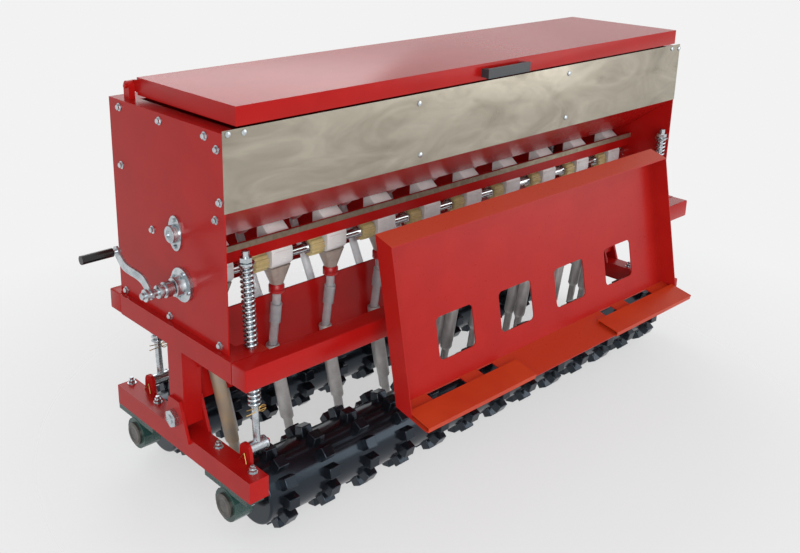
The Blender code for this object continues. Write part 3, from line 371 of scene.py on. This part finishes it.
def bolts():
    """Hex bolts in the side plates and under the bearings, and the strip's round-headed rivets."""
    # the side plates' bolts, back and up from ORIGIN
    places = (
        (0.568, 0.545), (0.368, 0.545), (0.165, 0.547), (0.116, 0.524), (0.574, 0.384), (0.110, 0.395),
        (0.130, 0.346), (0.428, 0.239), (0.590, 0.012), (0.359, 0.014), (0.128, 0.015),
    )
    plate_washer = [(0, 0.011), (0.0018, 0.011)]
    plate_head = [(0.0018, 0.0078), (0.0075, 0.0078), (0.009, 0.0062)]
    foot_washer = [(0, 0.013), (0.002, 0.013)]
    foot_head = [(0.002, 0.010), (0.011, 0.010)]
    foot_in, foot_up = 0.034, 0.019
    # the strip's rivets, in from its left end and up from ORIGIN
    rivets = (
        (0.032, 0.562), (0.078, 0.560), (0.665, 0.545), (0.675, 0.398),
        (1.343, 0.545), (1.342, 0.402), (1.952, 0.560), (1.999, 0.556),
    )
    rivet = [(0, 0.008), (0.0022, 0.0072), (0.0034, 0.004)]
    left_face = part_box("left_side_plate")[0][0] - SEAT
    right_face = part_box("right_side_plate")[1][0] + SEAT
    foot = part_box("front_left_bearing")[1][2] - foot_up
    strip_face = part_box("hopper_front_strip")[0][1] - SEAT
    front, top = ORIGIN[1:]
    shapes = []
    for x, way in ((left_face, -1), (right_face, 1)):
        for y, z in places:
            shapes += bolt_head((x, front + y, top + z), (way, 0, 0), plate_washer, plate_head)
    for x in (LEFT + foot_in, RIGHT - foot_in):
        for y in BEARING_BOLT_Y:
            shapes += bolt_head((x, front + y, foot), (0, 0, -1), foot_washer, foot_head)
    for x, z in rivets:
        shapes.append(turned(rivet, (LEFT + x, strip_face, top + z), (0, -1, 0), 16))
    points, faces = gathered(shapes)
    piece_of("bolts", points, faces, ZINC, "zinc_plate")


def lofted(rings):
    """A closed skin: point = ring k, corner j, for rings with equal numbers of corners, flat ends."""
    rings = np.array(rings, float)
    rows, columns = rings.shape[:2]
    faces = grid_faces(rows, columns)
    faces += [list(range(columns)), list(range((rows - 1) * columns, rows * columns))]
    return rings.reshape(-1, 3), faces


def soft_prism(outline, low, high, ease=0.003):
    """A (y, z) outline carried along x, its ends drawn in by the ease: corner + (middle - corner)*share."""
    outline = np.array(outline, float)
    middle = outline.mean(axis=0)
    size = np.abs(outline - middle).max()
    drawn = middle + (outline - middle) * (1 - ease / size)
    rings = []
    for x, line in ((low, drawn), (low + ease, outline), (high - ease, outline), (high, drawn)):
        rings.append([(x, y, z) for y, z in line])
    return lofted(rings)


def wire(path, radius, sides=8):
    """A round wire: point = path + radius*(cos a*first + sin a*second), the frame carried along the path."""
    path = np.array(path, float)
    ways = np.gradient(path, axis=0)
    ways /= np.linalg.norm(ways, axis=1)[:, None]
    a = np.linspace(0, 2 * np.pi, sides, endpoint=False)[:, None]
    first = np.cross(ways[0], (0.31, 0.17, 0.93))
    rings = []
    for point, way in zip(path, ways):
        first = first - way * first.dot(way)
        first /= np.linalg.norm(first)
        rings.append(point + radius * (np.cos(a) * first + np.sin(a) * np.cross(way, first)))
    return lofted(rings)


def fluted(low, high, y, z, root, depth, count):
    """A fluted roller along x: radius = root + depth*(cos(count*a) > 0), its ends eased."""
    a = np.linspace(0, 2 * np.pi, count * 4, endpoint=False)
    radius = root + depth * (np.arange(count * 4) % 4 < 2)
    rings = []
    for x, share in ((low, 0.94), (low + 0.0015, 1.0), (high - 0.0015, 1.0), (high, 0.94)):
        drawn = share * radius
        rings.append(np.stack([0 * a + x, y + drawn * np.cos(a), z + drawn * np.sin(a)], 1))
    return lofted(rings)


def funnel(x, y, top, foot, wide, deep, neck):
    """A square mouth drawn in to a round neck: corner = (1-s)*square + s*circle, from top to foot."""
    a = np.linspace(0, 2 * np.pi, 32, endpoint=False) + np.pi / 32
    circle = np.stack([np.cos(a), np.sin(a)], 1)
    square = circle / np.abs(circle).max(axis=1)[:, None] * (wide / 2, deep / 2)
    rings = []
    for share in (0.0, 0.08, 0.9, 1.0):
        mixed = (1 - share) * square + share * circle * neck
        rings.append([(x + p, y + q, top + (foot - top) * share) for p, q in mixed])
    return lofted(rings)


def front_meters():
    """White cups with smoked funnels, red caps and clear hoses; a steel shaft with fluted feed rollers."""
    y, z = FRONT_LINE
    half_cup, half_seam, half_gap, feed_length = 0.036, 0.030, 0.043, 0.044
    cup = [
        (-0.030, 0.026), (-0.026, 0.033), (-0.012, 0.0338), (-0.012, 0.079), (0.026, 0.1065),
        (0.040, 0.1065), (0.040, 0.034), (0.031, -0.008), (0.024, -0.024), (-0.018, -0.024),
        (-0.027, -0.016), (-0.030, -0.008),
    ]
    seam = [(-0.0325, 0.026), (-0.0325, 0.018), (-0.028, 0.018), (-0.028, 0.026)]
    cap = [
        (0, 0.0195), (0.002, 0.0225), (0.010, 0.0225), (0.0115, 0.0205), (0.013, 0.0225), (0.022, 0.0225),
        (0.027, 0.0190),
    ]
    ear = [(0, 0.0185), (0.001, 0.0198), (0.007, 0.0198), (0.008, 0.0185)]
    cups, funnels, caps, hoses, feeds, ears = ([] for _ in range(6))
    for x in METER_X:
        cups.append(soft_prism([(y + a, z + b) for a, b in cup], x - half_cup, x + half_cup, 0.004))
        cups.append(soft_prism([(y + a, z + b) for a, b in seam], x - half_seam, x + half_seam, 0.001))
        # the catch's shallow curve on the cup's face
        t = np.linspace(0, 1, 5)
        catch = [x - 0.004 + 0.014 * t, y - 0.0302 + 0 * t, z + 0.002 - 0.003 * np.sin(np.pi * t)]
        cups.append(wire(np.stack(catch, 1), 0.0016, 6))
        funnels.append(funnel(x, y, z - 0.0245, 0.047, 0.070, 0.050, 0.0175))
        caps.append(turned(cap, (x, y, 0.0235), (0, 0, 1), 28))
        hose = [(x, y, 0.030), (x, y, 0.012), (x, y + 0.001, -0.010), (x, 0.3062, -0.148)]
        hoses.append(wire(hose, 0.0125, 20))
        sleeve = [(x, y + 0.0012, -0.012), (x, y + 0.0098, -0.070)]
        hoses.append(wire(sleeve, 0.0165, 20))
        low = x - half_gap - feed_length
        feeds.append(fluted(low, low + feed_length, y, z, 0.0245, 0.0035, 14))
        ears.append(turned(ear, (low - 0.008, y, z), (1, 0, 0), 6))
    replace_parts(piece_of("front_meter_cups", *placed(cups), WHITE, "white_polypropylene"), "front_meter_row")
    piece_of("front_meter_funnels", *placed(funnels), SMOKED, "white_polypropylene")
    piece_of("front_meter_caps", *placed(caps), CAP_RED, "red_enamel")
    piece_of("front_meter_hoses", *placed(hoses), CLEAR, "white_polypropylene")
    body = "front_meter_shaft"
    shaft_in, chamfer, radius = 0.010, 0.001, 0.0125
    length = 2 * (END - shaft_in)
    shaft = [(0, radius - chamfer), (chamfer, radius), (length - chamfer, radius), (length, radius - chamfer)]
    line = turned(shaft, (shaft_in - END, y, z), (1, 0, 0), 28)
    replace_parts(piece_of("front_shaft_line", *placed([line] + ears), STEEL, "zinc_plate", body), body)
    piece_of("front_feed_rollers", *placed(feeds), CREAM, "cream_nylon", body)


def rear_meters():
    """Rear row: white tops with cream ears, smoked chutes ending in red round caps, clear hoses."""
    y, z = REAR_LINE
    fall = math.radians(39)
    way = np.array([0.0, -math.cos(fall), -math.sin(fall)])
    half_top, ear_out = 0.037, 0.040
    top = [
        (-0.026, 0.0390), (-0.026, -0.010), (-0.012, -0.024), (0.022, -0.024), (0.027, -0.014),
        (0.028, 0.0390),
    ]
    chute = [(0, 0.0245), (0.030, 0.0205), (0.054, 0.0175)]
    cap = [
        (0.050, 0.0200), (0.053, 0.0228), (0.062, 0.0228), (0.064, 0.0210), (0.066, 0.0228), (0.0720, 0.0215),
        (0.0735, 0.0160),
    ]
    ear = [(0, 0.011), (0.001, 0.012), (0.007, 0.012), (0.008, 0.011)]
    tops, chutes, caps, hoses, ears = ([] for _ in range(5))
    for x in METER_X:
        tops.append(soft_prism([(y + a, z + b) for a, b in top], x - half_top, x + half_top, 0.004))
        start = np.array([x, y - 0.020, z - 0.002])
        chutes.append(turned(chute, start, way, 28))
        caps.append(turned(cap, start, way, 28))
        foot_x = x + (REAR_TUBE_SHIFT if x < 0 else 0.0)
        outlet = start + way * 0.040
        path = [outlet, outlet + (0, 0, -0.018), outlet + (0, -0.004, -0.040), (foot_x, 0.3535, -0.148)]
        hoses.append(wire(path, 0.0125, 16))
        for side in (-1, 1):
            ears.append(turned(ear, (x + side * ear_out - 0.004, y - 0.012, z + 0.012), (1, 0, 0), 20))
    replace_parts(piece_of("rear_meter_tops", *placed(tops), WHITE, "white_polypropylene"), "rear_meter_row")
    piece_of("rear_meter_chutes", *placed(chutes), SMOKED, "white_polypropylene")
    piece_of("rear_meter_caps", *placed(caps), CAP_RED, "red_enamel")
    piece_of("rear_meter_hoses", *placed(hoses), CLEAR, "white_polypropylene")
    piece_of("rear_meter_ears", *placed(ears), CREAM, "cream_nylon")


def seed_spouts():
    """Drop tubes: an upper tube over a slimmer one, middle = head + lean*(distance down)."""
    tube_top, tube_lean = -0.150, 0.20
    # height and radius, down the tube
    levels = [
        (-0.146, 0.0185), (tube_top, 0.0200), (-0.398, 0.0200), (-0.401, 0.0192), (-0.410, 0.0132),
        (-0.480, 0.0130),
    ]
    a = np.linspace(0, 2 * np.pi, 28, endpoint=False)
    for row, y, left_shift in (("front", 0.3072, 0.0), ("rear", 0.3528, REAR_TUBE_SHIFT)):
        tubes = []
        for x in METER_X:
            head = x + (left_shift if x < 0 else 0.0)
            lean = tube_lean if x < 0 else -tube_lean
            rings = []
            for h, radius in levels:
                middle = head + lean * (tube_top - h)
                rings.append(np.stack([middle + radius * np.cos(a), y + radius * np.sin(a), 0 * a + h], 1))
            tubes.append(lofted(rings))
        grey = tubes[1:] if row == "front" else tubes
        made = piece_of(f"{row}_drop_tubes", *placed(grey), SPOUT, "spout_steel")
        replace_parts(made, f"{row}_seed_tubes")
        if row == "front":
            piece_of("left_drop_tube", *placed(tubes[:1]), TAN_SPOUT, "spout_steel")


def fittings():
    """Axle ends, pivot bolts, bearing bolts seen from above, and the rods' washers, split pins and clips."""
    low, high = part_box("front_roller")
    axle_z = low[2] + (high[2] - low[2]) / 2 - ORIGIN[2]
    beam_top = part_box("left_rocking_beam")[1][2] - ORIGIN[2] - 0.099
    collar = [
        (0.026, 0.019), (0.0365, 0.019), (0.0375, 0.0205), (0.0375, 0.0285), (0.036, 0.030), (0.026, 0.030),
    ]
    cover = [(0.026, 0.0335), (0.0348, 0.0335), (0.036, 0.0322)]
    pivot_head = [(0, 0.0262), (0.0135, 0.0262), (0.0155, 0.0225)]
    pivot_tip = [(0.0155, 0.014), (0.0185, 0.014), (0.0195, 0.0125)]
    washer = [(0, 0.0135), (0.0022, 0.0135)]
    nut = [(0.0022, 0.0105), (0.0105, 0.0105), (0.0118, 0.0090)]
    stud = [(0.0118, 0.0062), (0.0190, 0.0062), (0.0200, 0.0050)]
    axle_in, bolt_in, eye_in, eye_z, clip_z = 0.034, 0.041, 0.074, -0.285, -0.178
    # the leaning rod's shift at the clip's height, and the clip's loop as an angle
    rod_drift = 0.0076912
    loop = np.linspace(0.3, 2 * np.pi - 0.3, 20)
    t = np.linspace(0, 1, 9)[:, None]
    rings, zinc, brass = [], [], []
    for sign in (-1, 1):
        side = (sign, 0, 0)
        for y in AXLE_Y:
            at = (sign * (END - axle_in), y, axle_z)
            rings += [turned(collar, at, side, 36), turned(cover, at, side, 36)]
        pivot = (sign * (END + 0.0043), 0.3295, beam_top + 0.043)
        zinc += [turned(pivot_head, pivot, side, 6), turned(pivot_tip, pivot, side, 20)]
        for y in BEARING_BOLT_Y:
            at = (sign * (END - bolt_in), y, beam_top)
            zinc += bolt_head(at, (0, 0, 1), washer, nut, 24)
            zinc.append(turned(stud, at, (0, 0, 1), 16))
        for y in ROD_Y:
            eye = np.array([sign * (END - eye_in), y, eye_z])
            brass.append(turned([(0, 0.0155), (0.002, 0.0155)], eye + (sign * 0.012, 0, 0), side, 24))
            # a split pin's two legs, each the curve (1-t)^2*a + 2t(1-t)*b + t^2*c
            for spread in (-1, 1):
                ends = ([0.0, 0.0, -0.006], [0.004, 0.014 * spread, -0.026], [0.006, 0.020 * spread, -0.038])
                leg = np.array(ends)
                path = (1 - t) ** 2 * leg[0] + 2 * t * (1 - t) * leg[1] + t ** 2 * leg[2]
                brass.append(wire(eye + (sign * 0.019, 0, 0) + path * (sign, 1, 1), 0.0014, 6))
            rod_x = sign * (END - ROD_IN - rod_drift)
            loop_x = rod_x - sign * (0.020 + 0.011 * np.cos(loop))
            ring = np.stack([loop_x, y - 0.006 + 0 * loop, clip_z + 0.009 * np.sin(loop)], 1)
            tail = [[rod_x + sign * 0.030, y - 0.006, -0.168]]
            tip = [[rod_x + sign * 0.034, y - 0.010, -0.180]]
            brass.append(wire(np.concatenate([tail, ring, tip]), 0.0013, 6))
    piece_of("axle_end_rings", *placed(rings), DARK_STEEL, "zinc_plate")
    piece_of("beam_fittings", *placed(zinc), ZINC, "zinc_plate")
    piece_of("rod_clips", *placed(brass), BRASS, "zinc_plate")


def crank_handle():
    """The crank: a flat bar bent in an S, x = arm + bend*(1 - smooth(t)), its spindle, nut and castings."""
    y, z = FRONT_LINE
    angle, reach, bend, half_thick = math.radians(32.6), 0.152, 0.018, 0.003
    arm_x = -END - 0.099
    t = np.linspace(-0.10, 1.09, 26)
    smooth = np.clip((t - 0.25) / 0.5, 0, 1)
    smooth = smooth ** 2 * (3 - 2 * smooth)
    x = arm_x + bend * (1 - smooth)
    along = np.array([0.0, math.cos(angle), math.sin(angle)])
    across = np.array([0.0, -math.sin(angle), math.cos(angle)])
    wave = 0.006 * np.sin(np.pi * np.clip(t, 0, 1) * 2)
    # the bar's half width, drawn in round its two ends
    past_end = np.clip((np.abs(t - 0.495) - 0.52) / 0.078, 0, 0.96)
    width = 0.0135 * np.sqrt(np.clip(1 - past_end ** 2, 0, 1))
    rings = []
    for k in range(len(t)):
        centre = np.array([x[k], y, z]) + along * reach * t[k] + across * wave[k]
        corners = ((-1, -1), (-1, 1), (1, 1), (1, -1))
        rings.append([centre + across * width[k] * b + np.array([half_thick * a, 0, 0]) for a, b in corners])
    spindle = [
        (-0.006, 0.007), (-0.004, 0.009), (0.004, 0.009), (0.005, 0.0165), (0.012, 0.0165), (0.013, 0.010),
        (0.040, 0.010), (0.041, 0.0175), (0.047, 0.0185), (0.053, 0.0185), (0.054, 0.0155), (0.060, 0.0155),
        (0.061, 0.021), (0.078, 0.021), (0.079, 0.0185), (0.0835, 0.0185),
    ]
    line = turned(spindle, (arm_x - 0.004, y, z), (1, 0, 0), 32)
    nut = turned([(0, 0.0095), (0.002, 0.0118), (0.010, 0.0118)], (arm_x + 0.002, y, z), (1, 0, 0), 6)
    tip = np.array([x[-1], y, z]) + along * reach
    stem = [(-0.012, 0.006), (0.006, 0.006), (0.007, 0.0085), (0.011, 0.0085)]
    bar = [lofted(rings), line, nut, turned(stem, tip - (0.002, 0, 0), (1, 0, 0), 20)]
    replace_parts(piece_of("crank_bar", *placed(bar), ZINC, "zinc_plate"), "crank")
    # the crank flange's bolts and cast hub, then the oval bearings' bolts and hubs on both ends
    base, bolt_circle = -END + 0.0072, 0.034
    washer, head = [(0, 0.0075), (0.002, 0.0075)], [(0.002, 0.0058), (0.0065, 0.0058), (0.0075, 0.0045)]
    cast = [
        (0.0, 0.0275), (0.004, 0.0262), (0.010, 0.0242), (0.016, 0.0235), (0.018, 0.0250), (0.023, 0.0250),
        (0.0245, 0.0225),
    ]
    hub = [
        (0.0, 0.0245), (0.008, 0.0240), (0.012, 0.0225), (0.0155, 0.0225), (0.0165, 0.0215), (0.0165, 0.0135),
        (0.0125, 0.0125),
    ]
    details = []
    for a in np.radians((20, 110, 200, 290)):
        at = (base - SEAT, y + bolt_circle * math.cos(a), z + bolt_circle * math.sin(a))
        details += bolt_head(at, (-1, 0, 0), washer, head)
    details.append(turned(cast, (base, y, z), (-1, 0, 0), 40))
    plate_face, plate_y, plate_z, bolt_rise = END - 0.0118, 0.312, 0.262, 0.036
    for sign in (-1, 1):
        for turn in (-1, 1):
            at = (sign * plate_face, plate_y, plate_z + turn * bolt_rise)
            details.append(turned([(0, 0.0058), (0.004, 0.0058), (0.005, 0.0045)], at, (sign, 0, 0), 6))
        details.append(turned(hub, (sign * plate_face, plate_y, plate_z), (sign, 0, 0), 32))
    piece_of("casting_details", *placed(details), ZINC, "zinc_plate")


def eased(node, width, body="root"):
    """The node's own mesh in red enamel, its sharp edges rounded to the width; it stands for the node."""
    mesh = frame["nodes"][node].data.copy()
    work = bmesh.new()
    work.from_mesh(mesh)
    bmesh.ops.remove_doubles(work, verts=work.verts, dist=0.00002)
    bmesh.ops.dissolve_limit(work, angle_limit=math.radians(1), verts=work.verts, edges=work.edges)
    work.to_mesh(mesh)
    work.free()
    mesh.materials.clear()
    mesh.materials.append(RED)
    made = bpy.data.objects.new(f"{node}_eased", mesh)
    bpy.context.scene.collection.objects.link(made)
    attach(made, body)
    bevel = made.modifiers.new("edges", "BEVEL")
    bevel.width = width
    bevel.segments = 3
    bevel.limit_method = "ANGLE"
    bevel.angle_limit = math.radians(40)
    bevel.harden_normals = True
    mesh.shade_smooth()
    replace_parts(made, node)


lug_rollers()
springs()
bolts()
front_meters()
rear_meters()
seed_spouts()
fittings()
crank_handle()
for tube in ("front_beam", "rear_beam"):
    eased(tube, 0.004)
eased("lid", 0.0025, body="lid")

# a matt floor that takes the machine's shadow and clears away round it
bpy.ops.mesh.primitive_plane_add(size=60, location=(0, 0, -0.0005))
floor = bpy.context.object
floor.name = "floor"
floor_look = bpy.data.materials.new("pale_floor")
floor_look.use_nodes = True
tree = floor_look.node_tree
matt = tree.nodes["Principled BSDF"]
for name, value in (("Base Color", linear("F6F6F6")), ("Roughness", 1.0), ("Specular IOR Level", 0.0)):
    matt.inputs[name].default_value = value
place = add(tree, "ShaderNodeTexCoord").outputs["Object"]
away = add(tree, "ShaderNodeVectorMath", [(0, place)], operation="LENGTH")
links = [("Value", away.outputs["Value"])]
fade = add(tree, "ShaderNodeMapRange", links, From_Min=0.9, From_Max=2.1, To_Min=0.62)
clear = add(tree, "ShaderNodeBsdfTransparent")
links = [(0, fade.outputs["Result"]), (1, matt.outputs[0]), (2, clear.outputs[0])]
faded = add(tree, "ShaderNodeMixShader", links)
tree.links.new(tree.nodes["Material Output"].inputs["Surface"], faded.outputs[0])
floor.data.materials.append(floor_look)

# a soft sky for the light, and plain white wherever the world itself is seen
world = bpy.data.worlds.new("studio")
bpy.context.scene.world = world
world.use_nodes = True
tree = world.node_tree
sky = tree.nodes["Background"]
sky.inputs["Color"].default_value = (0.93, 0.95, 1.0, 1)
sky.inputs["Strength"].default_value = 0.50
white = add(tree, "ShaderNodeBackground", Color=linear("F2F2F2"))
rays = add(tree, "ShaderNodeLightPath").outputs
links = [(0, rays["Is Camera Ray"]), (1, rays["Is Glossy Ray"])]
seen = add(tree, "ShaderNodeMath", links, operation="MAXIMUM")
links = [(0, seen.outputs[0]), (1, rays["Is Transmission Ray"])]
either = add(tree, "ShaderNodeMath", links, operation="MAXIMUM")
links = [(0, either.outputs[0]), (1, sky.outputs[0]), (2, white.outputs[0])]
mixed = add(tree, "ShaderNodeMixShader", links)
tree.links.new(tree.nodes["World Output"].inputs["Surface"], mixed.outputs[0])

LAMP_TARGET = Vector((0, 0, 0.5))
for name, position, size, power in (
    ("key", (-3.0, -3.7, 1.7), 2.6, 118),
    ("fill", (2.8, -3.2, 1.5), 2.5, 40),
    ("back", (1.5, 3.0, 3.4), 2.5, 40),
):
    lamp = bpy.data.lights.new(name, "AREA")
    lamp.size = size
    lamp.energy = power
    lamp_object = bpy.data.objects.new(name, lamp)
    lamp_object.location = position
    lamp_object.rotation_euler = (LAMP_TARGET - Vector(position)).to_track_quat("-Z", "Y").to_euler()
    bpy.context.scene.collection.objects.link(lamp_object)

# the picture, the focal length and the point that the lens looks at squarely, in pixels
PICTURE = (800, 553)
FOCAL = 968.2
SQUARE_ON = (347.0, 189.1)
SENSOR = 36
AZIMUTH, ELEVATION, ROLL = -0.731, 0.310, 0.010
lens = bpy.data.cameras.new("camera")
lens.sensor_width = SENSOR
lens.lens = SENSOR * FOCAL / PICTURE[0]
lens.shift_x = (PICTURE[0] / 2 - SQUARE_ON[0]) / PICTURE[0]
lens.shift_y = (SQUARE_ON[1] - PICTURE[1] / 2) / PICTURE[0]
camera = bpy.data.objects.new("camera", lens)
camera.location = (LEFT - 1.2043, ORIGIN[1] - 1.7008, ORIGIN[2] + 1.1254)
aim = Euler((math.pi / 2 - ELEVATION, 0, AZIMUTH), "XYZ").to_matrix()
camera.rotation_euler = (aim @ Euler((0, 0, ROLL)).to_matrix()).to_euler()
bpy.context.scene.collection.objects.link(camera)
bpy.context.scene.camera = camera
bpy.context.scene.view_settings.view_transform = "Standard"
